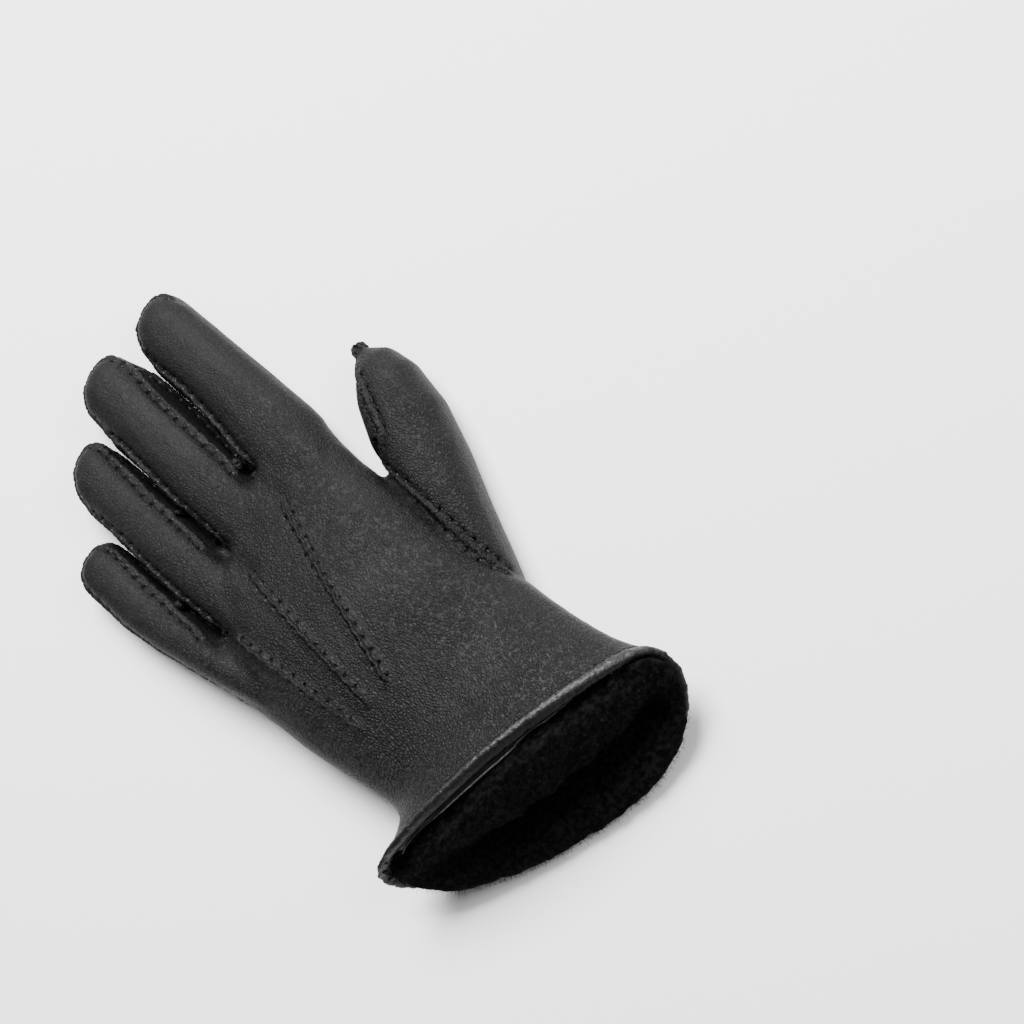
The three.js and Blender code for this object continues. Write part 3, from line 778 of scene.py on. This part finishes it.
def oneStitch():
    # a short thread that comes out of one hole and goes into the next
    deselectAll()
    bpy.ops.mesh.primitive_cylinder_add(vertices=6, radius=stitch["radius"] * mm, depth=stitch["length"] * mm,
                                        end_fill_type="TRIFAN")
    piece = bpy.context.object
    for along in (0.5, -0.5):
        edit(piece, bpy.ops.mesh.bisect, plane_co=(0, 0, along * mm), plane_no=(0, 0, 1))
    for vertex in piece.data.vertices:
        share = vertex.co.z / (stitch["length"] * mm / 2)
        vertex.co = Vector((vertex.co.z, vertex.co.y, vertex.co.x - 0.5 * mm * share ** 2))
    return piece


def sewStitches(name, places):
    pattern = oneStitch()
    shape = bmesh.new()
    for place, along, off in places:
        across = off.cross(along).normalized()
        axes = Matrix((along, across, along.cross(across))).transposed().to_4x4()
        before = len(shape.verts)
        shape.from_mesh(pattern.data)
        shape.verts.ensure_lookup_table()
        bmesh.ops.transform(shape, matrix=Matrix.Translation(place) @ axes, verts=shape.verts[before:])
    bpy.data.objects.remove(pattern)
    bmesh.ops.recalc_face_normals(shape, faces=shape.faces)
    return finish(pieceOf(shape, name), thread, "nappa_leather")


def pullIn(piece, routes, depth, width):
    low = 1 - eased(distances(piece, routes), 0, width * mm)
    movePoints(piece, pointsOf(piece) - normalsOf(piece) * (low * depth * mm)[:, None])


def kindOf(name):
    if name == "thumb_inner":
        return webWelt
    if "palm" in name or name == "thumb_oval":
        return softWelt
    return {**welt, "quiet": -1 if name == "index_back" else 1}


rng = np.random.default_rng(7)
allSeams = list(paths.values())
backSeams = [route for name, route in paths.items() if "palm" not in name and name != "thumb_oval"]
pullIn(whole, [evenPath(dropped(between(route)), 2) for route in furrow["routes"]], furrow["depth"], furrow["width"])
pullIn(whole, allSeams, seam["sink"], seam["sinkWidth"])
skinTree = treeOf(whole)
refineNear(whole, allSeams + pointPaths, *seam["fine"])
refineNear(whole, backSeams, *seam["finer"])
refineNear(whole, pointPaths, *seam["finerPoint"])
evenOut(whole, 8, 1 - eased(distances(whole, allSeams + pointPaths), 5 * mm, 8 * mm))
skinTree = treeOf(whole)
rows = [(route, kindOf(name)) for name, route in paths.items()]
stitches = sewPaths(whole, rows + [(route, point) for route in pointPaths])
skinTree = treeOf(whole)
coarse = pathTree([labelPoints])
nearest = [coarse.find(p)[1] for p in pointsOf(whole)]
labels, fromLeather = labels[nearest], fromLeather[nearest]


def setStitches():
    # the places of the threads on the sewn skin, with their directions along the seam and off it
    places = []
    for i, across, route, along, off, sideways in stitches:
        start = Vector(route[i] + sideways[i] * across * mm)
        hit, normal, _, gap = skinTree.find_nearest(start)
        if hit and gap < 4 * mm and normal.dot(Vector(off[i])) > -0.3:
            places.append((hit - normal * stitch["sunk"] * mm, Vector(along[i]), normal))
    sewStitches("stitches", places)
    return len(places)


print("seams and points sewn:", len(whole.data.vertices), "points,", setStitches(), "stitches")


# Parting the skin into the pieces that it is sewn from
skinParts = {
    "trank_back": ("trank", lambda z: z >= skin["parting"] * mm),
    "trank_palm": ("trank", lambda z: z < skin["parting"] * mm),
    "thumb_skin": ("thumb", None),
    "index_middle_strip": ("fourchette_index_middle", None),
    "middle_ring_strip": ("fourchette_middle_ring", None),
    "ring_little_strip": ("fourchette_ring_little", None),
}
bound = len(leatherNodes)  # the label of skin that is nearest to the binding


def tuckUnderBinding():
    # the leather's edge runs a little under its binding
    co, normals = pointsOf(whole), normalsOf(whole)
    under = (labels == bound) * eased(fromLeather, 0.2 * mm, 1.6 * mm)
    movePoints(whole, co - normals * (under * skin["tuck"] * mm)[:, None])


def partSkin():
    votes = np.array([max(set(row), key=row.count) for row in
                      ([labels[v] for v in face.vertices] for face in whole.data.polygons)])
    edge = np.array([max(fromLeather[v] for v in face.vertices) for face in whole.data.polygons])
    height = np.array([face.center.z for face in whole.data.polygons])
    votes[(votes == bound) & (edge < 3.2 * mm)] = 0
    for name, (node, chosen) in skinParts.items():
        keep = votes == leatherNodes.index(node)
        if chosen:
            keep &= chosen(height)
        shape = shapeOf(whole)
        shape.faces.ensure_lookup_table()
        bmesh.ops.delete(shape, geom=[shape.faces[i] for i in np.nonzero(~keep)[0]], context="FACES")
        piece = pieceOf(shape, name)
        lineSkin(piece)
        finish(piece, leather, "nappa_leather", node)
        pick(piece)
        bpy.ops.object.shade_smooth_by_angle(angle=math.radians(70))


def lineSkin(piece):
    # gives the skin its wall; the hidden inner side needs fewer faces
    outer = len(piece.data.vertices)
    applyModifier(piece, "SOLIDIFY", thickness=skin["wall"] * mm, offset=-1)
    inner = piece.vertex_groups.new(name="inner")
    inner.add(list(range(outer, len(piece.data.vertices))), 1.0, "REPLACE")
    triangles = sum(len(face.vertices) - 2 for face in piece.data.polygons)
    applyModifier(piece, "DECIMATE", ratio=min(skin["innerShare"], skin["most"] / triangles),
                  vertex_group="inner", use_collapse_triangulate=True)
    piece.vertex_groups.clear()


tuckUnderBinding()
partSkin()
bpy.data.objects.remove(whole)


# Thumb tip: the gathered end of the seam
knot = {"radius": 3.3, "folds": 5, "fold": 0.75, "long": 1.25, "heading": 38, "tilt": 20}


def tieKnot():
    deselectAll()
    bpy.ops.mesh.primitive_ico_sphere_add(subdivisions=5, radius=1)
    ball = bpy.context.object
    ball.name = "thumb_knot"
    for vertex in ball.data.vertices:
        p = vertex.co.normalized()
        turn = math.atan2(p.z, p.x)
        fold = math.cos(knot["folds"] * turn + 3.0 * p.y) * (1 - p.y ** 2) + 0.7 * noise.noise(p * 2.6)
        reach = knot["radius"] + knot["fold"] * (fold - 0.4)
        vertex.co = Vector((p.x * reach, p.y * reach * knot["long"], p.z * reach)) * mm
    heading = Matrix.Rotation(math.radians(knot["heading"]), 4, "Z")
    turned = heading @ Matrix.Rotation(math.radians(knot["tilt"]), 4, "X")
    ball.data.transform(Matrix.Translation(Vector(thumb["knob"]) * mm) @ turned)
    finish(ball, leather, "nappa_leather")


tieKnot()

# Binding: thin leather folded over the rim
binding = {"voxel": 0.75, "rounds": 40, "wrinkle": 0.16, "swell": 0.3, "out": (-0.25, -0.78, 0.55), "long": 74,
           "short": 22}
# directions out of the mouth, across it and up it
mouth = np.array(Vector(binding["out"]).normalized())
mouthWide = unit(np.array([[1.0, 0, 0]]) - mouth[0] * mouth[None, :])[0]
mouthTall = np.cross(mouth, mouthWide)


def rimAngle(co, middle):
    # the angle round the rim, as if it were a circle, and the distance out of the mouth
    flat = co - middle
    return np.arctan2(flat @ mouthTall / binding["short"], flat @ mouthWide / binding["long"]), flat @ mouth


def bindRim():
    roll = copyOfNodes(["cuff_binding"], "cuff_binding_leather")
    applyModifier(roll, "REMESH", mode="VOXEL", voxel_size=binding["voxel"] * mm)
    evenOut(roll, binding["rounds"])
    co, normals = pointsOf(roll), normalsOf(roll)
    middle = co.mean(0)
    angle, _ = rimAngle(co, middle)
    bins = 180
    place = ((angle + math.pi) / (2 * math.pi) * bins).astype(int) % bins
    centre = np.stack([np.bincount(place, co[:, k], bins) / np.maximum(np.bincount(place, minlength=bins), 1)
                       for k in range(3)], 1)
    steps = np.linalg.norm(np.roll(centre, -1, 0) - centre, axis=1)
    lengths = np.concatenate([[0], np.cumsum(steps)]) / mm
    along = np.interp((angle + math.pi) / (2 * math.pi) * bins, np.arange(bins + 1), lengths)
    away = (co - centre[place]) / mm
    around = np.arctan2(away @ mouth, np.linalg.norm(away, axis=1))
    rise = []
    for s, turn in zip(along, around):
        fine = noise.noise(Vector((s * 0.55, turn * 0.9, 3.0)))
        slow = noise.noise(Vector((s * 0.12, turn * 0.5, 9.0)))
        rise.append(binding["wrinkle"] * (1 - abs(fine) * 3) + binding["swell"] * slow)
    co = co + normals * (np.array(rise) * mm)[:, None]
    co[:, 2] = np.maximum(co[:, 2], 0.05 * mm)
    movePoints(roll, co)
    addShade(roll, np.zeros(len(co)))
    finish(roll, bindingLeather, "binding_leather", "cuff_binding")
    return middle


rimMiddle = bindRim()
rimPoints = pointsOf(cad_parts["cuff_binding"])


# The band of the binding inside the rim, up to its raw edge: where it runs by the rim's angle, its width in mm at
# both ends and its section, in mm out of the mouth after a share of the width
edgeBand = {"from": 30, "to": 176, "narrow": 0.3, "broad": 3.6, "cord": 0.5, "cordHigh": 0.7,
            "section": [(0, -1.5), (0, 0.1), (0.5, 0.4), (0.9, 0.55), (1, 0.5), (1, -0.2), (0.9, -1.2)]}


def edgeRoute():
    # points along the inner front of the rim, the direction inwards at each and the band's width there
    angle, depth = rimAngle(rimPoints, rimMiddle)
    away = np.linalg.norm(rimPoints - rimMiddle - np.outer(depth, mouth), axis=1)
    route = []
    for low in np.radians(np.arange(edgeBand["from"], edgeBand["to"], 4)):
        turned = (angle - low) % (2 * math.pi)
        here = np.nonzero(turned < math.radians(9))[0]
        if len(here):
            route.append(rimPoints[here[np.argmax(depth[here] - 1.2 * away[here])]])
    route = evenPath(route, 1.2, 14)
    route = route[:int(np.argmin(route @ mouthWide)) + 1]  # it ends at the rim's ulnar end
    inward = unit(rimMiddle - route - np.outer((rimMiddle - route) @ mouth, mouth))
    run = np.linspace(0, 1, len(route)) ** 0.8
    wide = edgeBand["narrow"] + (edgeBand["broad"] - edgeBand["narrow"]) * run
    wide += [0.35 * noise.noise(Vector((i * 0.35, 0.2, 4.0))) for i in range(len(route))]
    return route, inward, wide * np.clip((len(route) - np.arange(len(route))) / 7, 0.12, 1)


def sweepEdge(name, material, sections):
    # one closed piece from a ring of (inwards, outwards) in mm at each point of the rim
    points, faces = [], []
    sides = len(sections[0])
    for place, inward, section in zip(rim[0], rim[1], sections):
        points += [place + (inward * across + mouth * high) * mm for across, high in section]
    for i in range(len(sections) - 1):
        for k in range(sides):
            n = (k + 1) % sides
            faces.append((i * sides + k, i * sides + n, (i + 1) * sides + n, (i + 1) * sides + k))
    faces += [tuple(range(sides))[::-1], tuple((len(sections) - 1) * sides + k for k in range(sides))]
    edge = pieceFrom(name, points, faces)
    edit(edge, bpy.ops.mesh.normals_make_consistent, inside=False)
    return finish(edge, material, "binding_leather")


def cordRing(i, wide):
    lift = edgeBand["cordHigh"] + 0.3 * noise.noise(Vector((i * 0.5, 7.2, 1.0)))
    taper = 0.2 + 0.8 * min(1.0, i / 8, (len(rim[0]) - 1 - i) / 8)
    turns = [2 * math.pi * k / 6 for k in range(6)]
    size = edgeBand["cord"] * taper
    return [(wide + size * math.cos(turn), lift + size * math.sin(turn)) for turn in turns]


rim = edgeRoute()  # its points, the direction inwards and the band's width at each
bandSections = [[(across * wide, high) for across, high in edgeBand["section"]] for wide in rim[2]]
sweepEdge("binding_band", bindingLeather, bandSections)
# the cord along the raw edge carries the painted highlight
sweepEdge("binding_edge", cutEdgeHighlight, [cordRing(i, wide) for i, wide in enumerate(rim[2])])
print("binding folded over the rim")

# Wool: a soft body with clipped fibres
wool = {
    "voxel": 1.6,
    "rounds": 600,
    "tuft": 0.55,
    "tuftSize": 4.5,
    "strands": 40000,
    "long": (1.2, 2.3),
    "wide": 0.15,
    "seed": 11,
    "spread": 4.2,  # mm that the pile swells over the rim, and out of the mouth
    "lift": 1.6,
    "cover": [(-214, -197), (10, 36)],  # degrees round the rim over which the swelling comes and goes
}


def spreadPile(co):
    # the pile swells over the binding on the palm side and by the thumb
    angle, _ = rimAngle(co, rimMiddle)
    angle = np.degrees(angle)
    angle = np.where(angle > 120, angle - 360, angle)
    comes, goes = wool["cover"]
    cover = (1 - eased(angle, *goes)) * eased(angle, *comes)
    flat = co - rimMiddle
    sideways = unit(np.outer(flat @ mouthWide / binding["long"] ** 2, mouthWide)
                    + np.outer(flat @ mouthTall / binding["short"] ** 2, mouthTall))
    rimTree = treeOf(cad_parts["cuff_binding"])
    found = [rimTree.find_nearest(Vector(p)) for p in co]
    gap = np.array([f[3] for f in found]) / mm
    ahead = ((co - np.array([tuple(f[0]) for f in found])) @ mouth) / mm
    share = cover * (1 - eased(gap, 3, 10)) * eased(ahead, -0.5, 2.5)
    return co + (sideways * wool["spread"] + mouth * wool["lift"]) * (share * mm)[:, None]


def pressUnderBand(co):
    # the binding's band lies over the wool
    tree = pathTree([rim[0]])
    nearest = np.array([tree.find(p)[1] for p in co])
    away = co - rim[0][nearest]
    ahead = away @ mouth / mm
    inside = (away * rim[1][nearest]).sum(1) / mm
    wide = rim[2][nearest]
    limit = -0.1 + 9 * eased(inside - wide, 0.2, 5)
    beside = 1 - eased(np.linalg.norm(away, axis=1), 7 * mm, 11 * mm)
    beside = beside * np.clip((len(rim[0]) - nearest) / 9, 0, 1)
    return co - mouth * (np.maximum(ahead - limit, 0) * beside * mm)[:, None]


def woolBody():
    body = copyOfNodes(["wool_lining"], "wool_body")
    applyModifier(body, "REMESH", mode="VOXEL", voxel_size=wool["voxel"] * mm)
    evenOut(body, wool["rounds"], steps=(0.5, -0.505))
    movePoints(body, spreadPile(pointsOf(body)))
    evenOut(body, 60, steps=(0.5, -0.52))
    movePoints(body, pressUnderBand(pointsOf(body)))
    evenOut(body, 2, steps=(0.5, -0.5))
    co, normals = pointsOf(body), normalsOf(body)
    size = 1 / (wool["tuftSize"] * mm)
    tufts = np.array([noise.fractal(Vector(p * size), 1.0, 2.0, 3) for p in co])
    outside = eased(-co[:, 1], 0.088, 0.1)
    co = co + normals * (tufts * outside * wool["tuft"] * mm)[:, None]
    co[:, 2] = np.maximum(co[:, 2], 0.2 * mm)
    movePoints(body, co)
    return finish(body, woolBase, "wool", "wool_lining")


def woolStrands(body):
    # short fibres that stand off the wool where it shows, each three small triangles
    rng = np.random.default_rng(wool["seed"])
    mesh = body.data
    count = len(mesh.polygons)
    centres, normals, areas = np.empty(count * 3), np.empty(count * 3), np.empty(count)
    mesh.polygons.foreach_get("center", centres)
    mesh.polygons.foreach_get("normal", normals)
    mesh.polygons.foreach_get("area", areas)
    centres, normals = centres.reshape(-1, 3), normals.reshape(-1, 3)
    depth = (centres - rimMiddle) @ mouth / mm
    showing = (depth > -26) * (normals @ mouth > -0.75) * areas
    rimTree, bandTree = treeOf(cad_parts["cuff_binding"]), treeOf(bpy.data.objects["binding_edge"])
    clear = np.array([min(tree.find_nearest(Vector(c))[3] for tree in (rimTree, bandTree)) for c in centres])
    showing = showing * ((clear > 0.9 * mm) | (depth > 1))
    chosen = rng.choice(count, wool["strands"], p=showing / showing.sum())
    spread = rng.normal(0, 0.5 * wool["voxel"] * mm, (wool["strands"], 3))
    root = centres[chosen] + spread - normals[chosen] * 0.3 * mm
    lean = unit(normals[chosen] + rng.normal(0, 0.42, root.shape) + mouth * 0.15)
    curl = unit(np.cross(lean, rng.normal(0, 1, root.shape)))
    long = rng.uniform(*wool["long"], wool["strands"])[:, None] * mm
    half = curl * wool["wide"] * mm / 2
    bend = unit(rng.normal(0, 1, root.shape)) * long * 0.25
    middle = root + lean * long * 0.55 + bend * 0.4
    tip = root + lean * long + bend
    points = np.stack([root - half, root + half, middle - half * 0.7, middle + half * 0.7, tip], 1)
    points[:, :, 2] = np.maximum(points[:, :, 2], 0.05 * mm)
    faces = []
    for i in range(wool["strands"]):
        a = i * 5
        faces += [(a, a + 1, a + 3), (a, a + 3, a + 2), (a + 2, a + 3, a + 4)]
    return finish(pieceFrom("wool_fibres", points.reshape(-1, 3), faces), woolFibre, "wool")


woolStrands(woolBody())
print("wool laid in")
